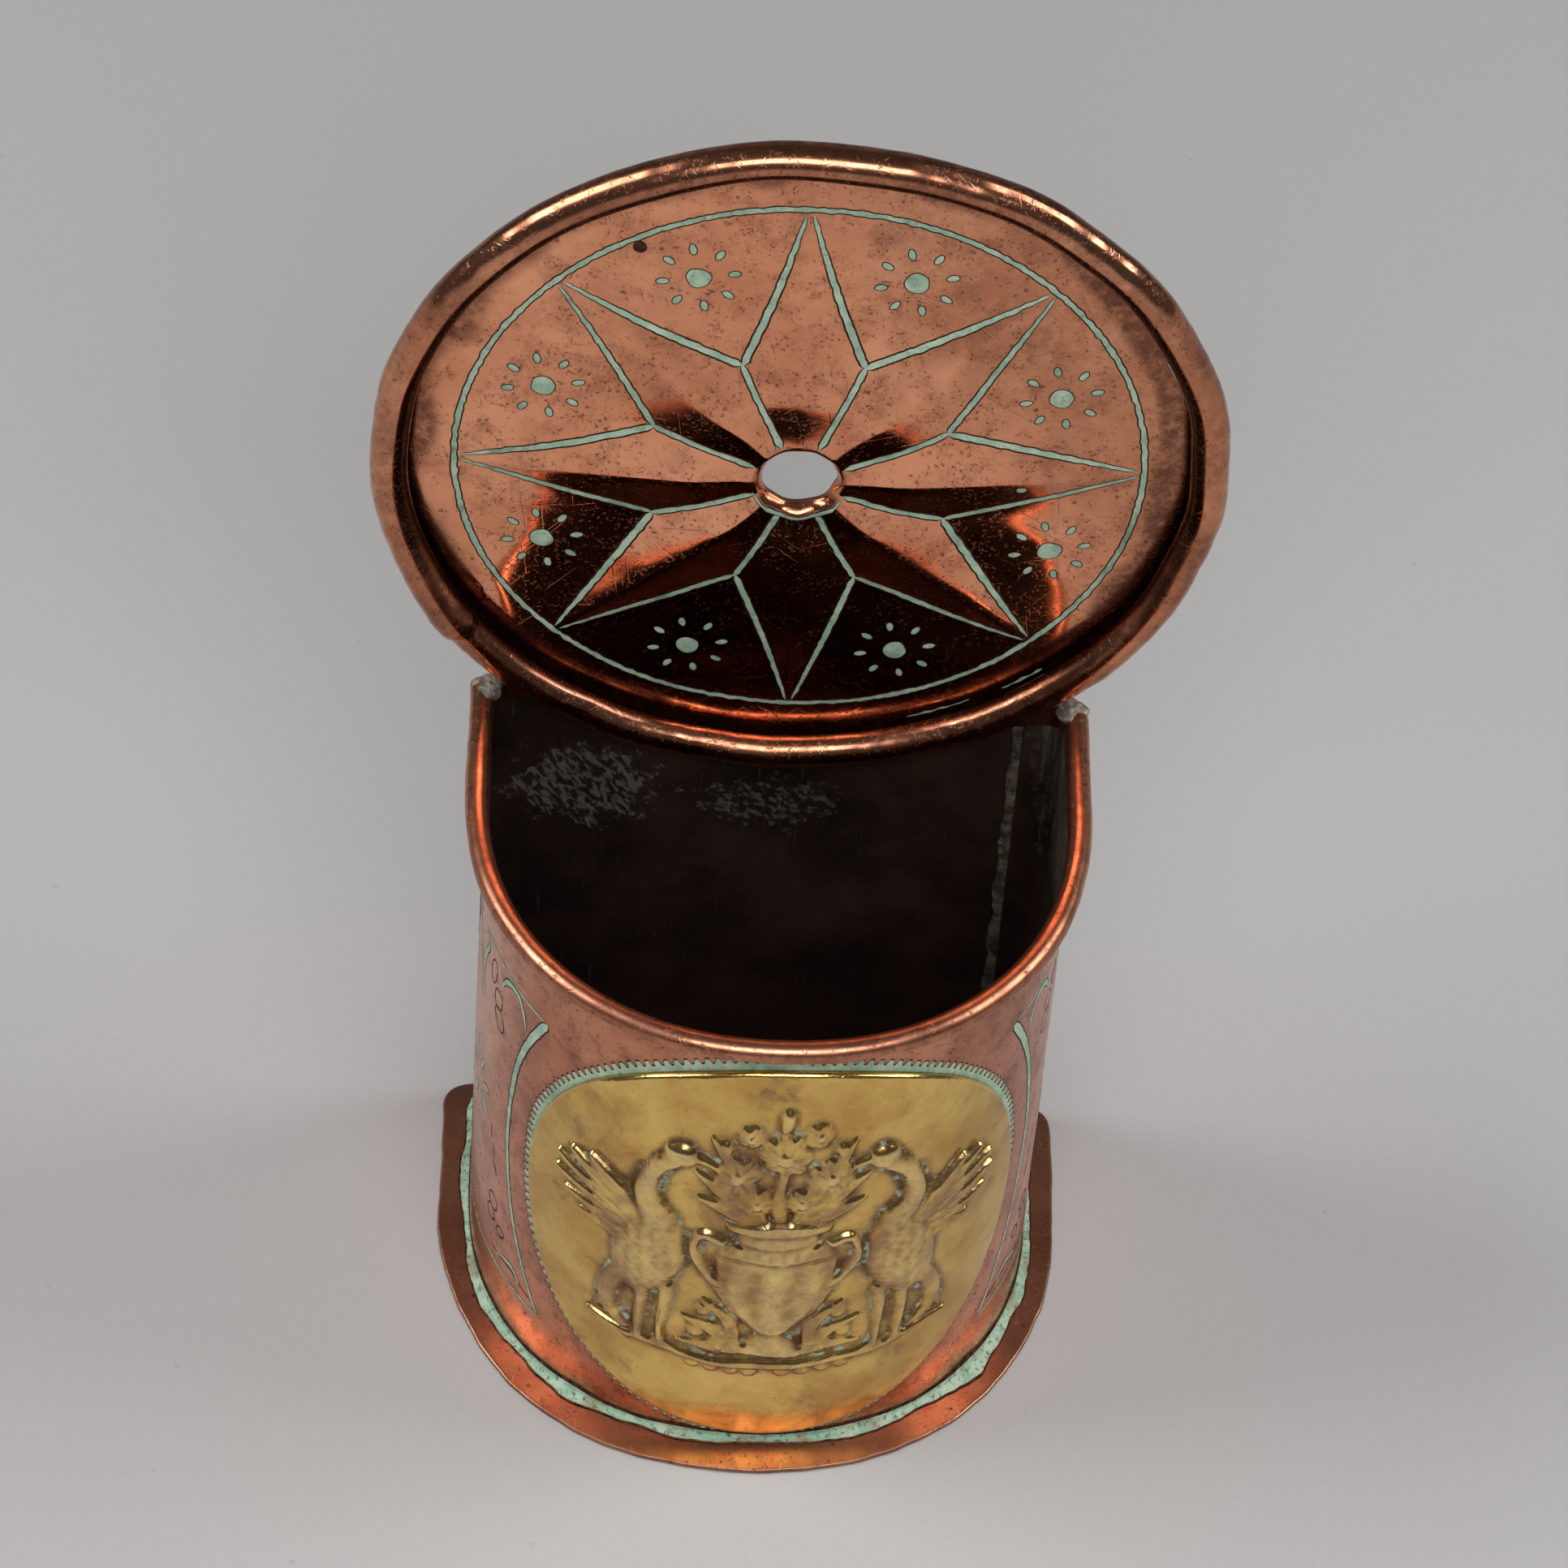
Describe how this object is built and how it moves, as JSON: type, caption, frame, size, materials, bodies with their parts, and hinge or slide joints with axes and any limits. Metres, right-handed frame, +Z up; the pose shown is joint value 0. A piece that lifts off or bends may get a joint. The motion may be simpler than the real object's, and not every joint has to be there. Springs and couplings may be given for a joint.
{
  "type": "wall pot",
  "caption": "Bow-fronted copper wall pot with a wired rim, a round star-embossed backplate with a hanging hole, a flanged foot and a brass medallion, all soldered.",
  "frame": {"origin": "middle of the bounding box in plan, on the ground under the foot plate", "axes": "+Z up, the bow faces -Y, the back wall and the backplate face the wall behind at +Y"},
  "size_m": [0.0728, 0.044, 0.1211],
  "materials": {
    "copper": "polished copper with brown tarnish",
    "brass": "polished brass with brown tarnish in the relief",
    "iron": "dull wire, hidden in the rolled edges",
    "solder": "dull tin solder with pale green residue"
  },
  "bodies": {
    "root": {"pot_body": "copper", "rim_wire": "iron", "base_plate": "copper", "back_disc": "copper", "disc_wire": "iron", "medallion": "brass", "base_solder": "solder", "seam_solder": "solder", "disc_solder": "solder", "corner_solder_left": "solder", "corner_solder_right": "solder"}
  },
  "joints": []
}
